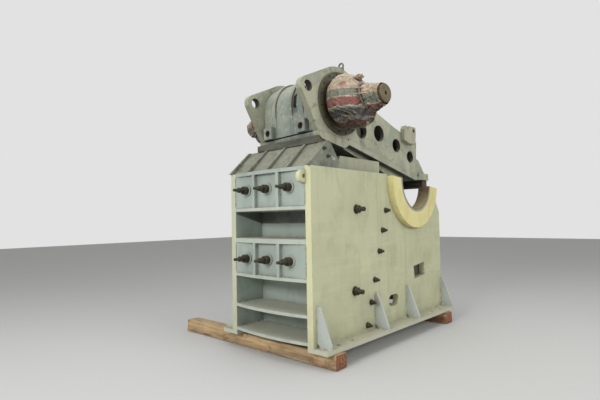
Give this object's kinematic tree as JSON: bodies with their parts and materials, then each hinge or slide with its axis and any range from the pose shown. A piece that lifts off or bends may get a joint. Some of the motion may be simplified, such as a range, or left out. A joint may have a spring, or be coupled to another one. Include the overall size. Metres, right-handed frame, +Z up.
{
  "type": "jaw crusher frame with its swing jaw stored on top",
  "caption": "Welded jaw crusher frame on timber skids, with the swing jaw laid face down on top and its shaft ends wrapped in sheeting.",
  "frame": {"origin": "on the floor, under the middle of the front skid, in the machine's plane of symmetry", "axes": "+X toward the machine's right side plate, +Y from the front wall to the rear, +Z up"},
  "size_m": [3.0592, 3.278, 3.5402],
  "materials": {
    "frame_paint": "pale yellow-green grey primer, matt, dusty",
    "seat_paint": "pale yellow primer with a machined brown bore",
    "front_paint": "light blue-grey primer, matt",
    "casting_paint": "grey-green paint on rough cast steel",
    "machined_rust": "machined face under brown rust preventive",
    "bolt_steel": "dark brown oiled steel",
    "manganese_steel": "cast manganese steel, unpainted",
    "shaft_steel": "turned steel with a light film of grease",
    "timber": "sawn packing timber",
    "woven_sheeting": "striped woven plastic sheeting, dusty"
  },
  "bodies": {
    "root": {"right_side_plate": "frame_paint", "left_side_plate": "frame_paint", "right_seat_ring": "seat_paint", "left_seat_ring": "seat_paint", "right_base_flange": "frame_paint", "left_base_flange": "frame_paint", "right_foot_gussets": "front_paint", "left_foot_gussets": "front_paint", "right_cheek_plate": "frame_paint", "left_cheek_plate": "frame_paint", "cheek_bolts": "bolt_steel", "lifting_ear": "frame_paint", "front_wall": "front_paint", "cap_plate": "front_paint", "top_box_panel": "front_paint", "top_box_rib": "front_paint", "upper_rib": "front_paint", "middle_box_panel": "front_paint", "middle_box_rib": "front_paint", "lower_shelf": "front_paint", "bottom_rib": "front_paint", "top_jaw_bolts": "bolt_steel", "middle_jaw_bolts": "bolt_steel", "feed_lip": "casting_paint", "fixed_jaw_plate": "manganese_steel", "rear_wall": "front_paint", "rear_ribs": "front_paint", "toggle_beam": "casting_paint", "shim_pack": "manganese_steel", "front_skid": "timber", "rear_skid": "timber", "tail_packer": "timber", "toe_packer": "timber", "jaw_barrel": "casting_paint", "right_jaw_cheek": "casting_paint", "left_jaw_cheek": "casting_paint", "right_bearing_cover": "machined_rust", "left_bearing_cover": "machined_rust", "jaw_face_plate": "casting_paint", "jaw_lugs": "casting_paint", "jaw_ribs": "casting_paint", "tail_lugs": "casting_paint", "housing_lifting_eye": "casting_paint", "jaw_bearings": "shaft_steel"},
    "shaft": {"eccentric_shaft": "shaft_steel", "right_wrap": "woven_sheeting", "left_wrap": "woven_sheeting"}
  },
  "joints": [
    {"name": "eccentric_shaft_spin", "type": "hinge", "parent": "root", "child": "shaft", "pos_m": [0, 0.568, 2.98], "axis": [0.998, -0.061, 0.015], "continuous": true}
  ]
}
